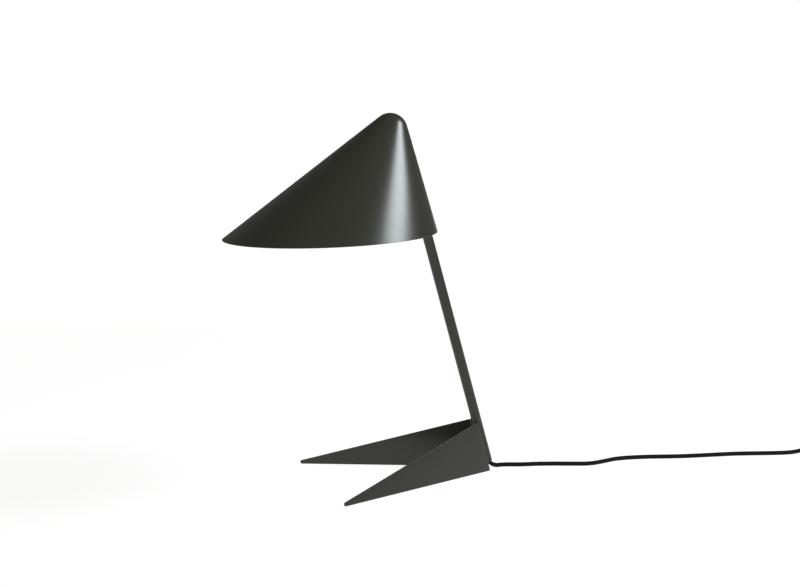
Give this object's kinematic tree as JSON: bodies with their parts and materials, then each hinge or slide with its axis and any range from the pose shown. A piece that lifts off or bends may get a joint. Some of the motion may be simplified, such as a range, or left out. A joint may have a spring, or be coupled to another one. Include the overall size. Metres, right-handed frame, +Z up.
{
  "type": "desk lamp",
  "caption": "Desk lamp with a slanted cone shade on a leaning tube, a folded sheet base with pointed fins, tilting shade and a cord with switch and plug.",
  "frame": {"origin": "on the floor, at the middle of the lamp's own length and width, without its cord", "axes": "+Z up; the shade and fins point to -X; the plane of symmetry is Y = 0; the cord leaves towards +X"},
  "size_m": [0.9423, 0.223, 0.43],
  "materials": {
    "black_nylon": "moulded black nylon",
    "black_rubber": "moulded black rubber",
    "black_screw": "blackened steel",
    "board": "white solder mask",
    "bulb_black_glass": "dark insulating glass",
    "bulb_collar_white": "white moulded polycarbonate",
    "ceramic": "glazed ceramic",
    "fibre": "vulcanised fibre",
    "holder_resin": "moulded black thermoset",
    "knuckle_brass": "plain machined brass",
    "lead_insulation": "silicone insulation",
    "opal_glass": "opal glass",
    "pin_nickel": "nickel plate",
    "shade_powder_coat": "satin anthracite powder coat on spun aluminium, white inside",
    "sleeve_plastic": "moulded insulating sleeve",
    "socket_brass": "nickelled brass",
    "steel_powder_coat": "satin anthracite powder coat on steel",
    "switch_plastic": "moulded black polycarbonate",
    "textile_cord": "braided black textile",
    "zinc_steel": "bright zinc plate"
  },
  "bodies": {
    "base": {"base_sheet": "steel_powder_coat", "stem_tube": "steel_powder_coat", "stem_welds": "steel_powder_coat", "cord_bush": "black_nylon", "knuckle_fork": "knuckle_brass", "lead_grommet": "black_rubber", "stem_cable": "textile_cord", "pivot_bolt": "zinc_steel", "pivot_nut": "zinc_steel", "pivot_washers": "zinc_steel", "friction_washers": "fibre", "pivot_spring_washer": "zinc_steel", "power_cord": "textile_cord", "cord_to_coil": "textile_cord", "cord_coil": "textile_cord", "cord_to_plug": "textile_cord", "switch_base": "switch_plastic", "switch_cover": "switch_plastic", "rocker_pin": "zinc_steel", "switch_screws": "zinc_steel", "switch_contacts": "ceramic", "switch_reliefs": "black_rubber", "plug_body": "switch_plastic", "plug_pins": "pin_nickel", "plug_sleeves": "sleeve_plastic", "plug_relief": "black_rubber"},
    "shade": {"shade_shell": "shade_powder_coat", "back_screw": "black_screw", "back_washer": "black_screw", "knuckle_eye": "knuckle_brass", "holder_nipple": "zinc_steel", "holder_lock_nut": "zinc_steel", "holder_washer": "zinc_steel", "holder_cap": "holder_resin", "holder_skirt": "holder_resin", "holder_core": "ceramic", "terminal_screws": "socket_brass", "socket_shell": "socket_brass", "centre_contact": "socket_brass", "bulb_contact": "socket_brass", "bulb_insulator": "bulb_black_glass", "bulb_cap": "pin_nickel", "bulb_collar": "bulb_collar_white", "bulb_glass": "opal_glass", "led_board": "board", "lamp_leads": "lead_insulation"},
    "rocker": {"switch_rocker": "switch_plastic"}
  },
  "joints": [
    {"name": "shade_tilt", "type": "hinge", "parent": "base", "child": "shade", "pos_m": [0.04839, 0, 0.39404], "axis": [0, -1, 0], "range_deg": [-0.5, 25], "deforming": ["lamp_leads"]},
    {"name": "rocker_press", "type": "hinge", "parent": "base", "child": "rocker", "pos_m": [0.62833, -0.07845, 0.0124], "axis": [0.1564, 0.9877, 0], "range_deg": [-18, 0]}
  ]
}
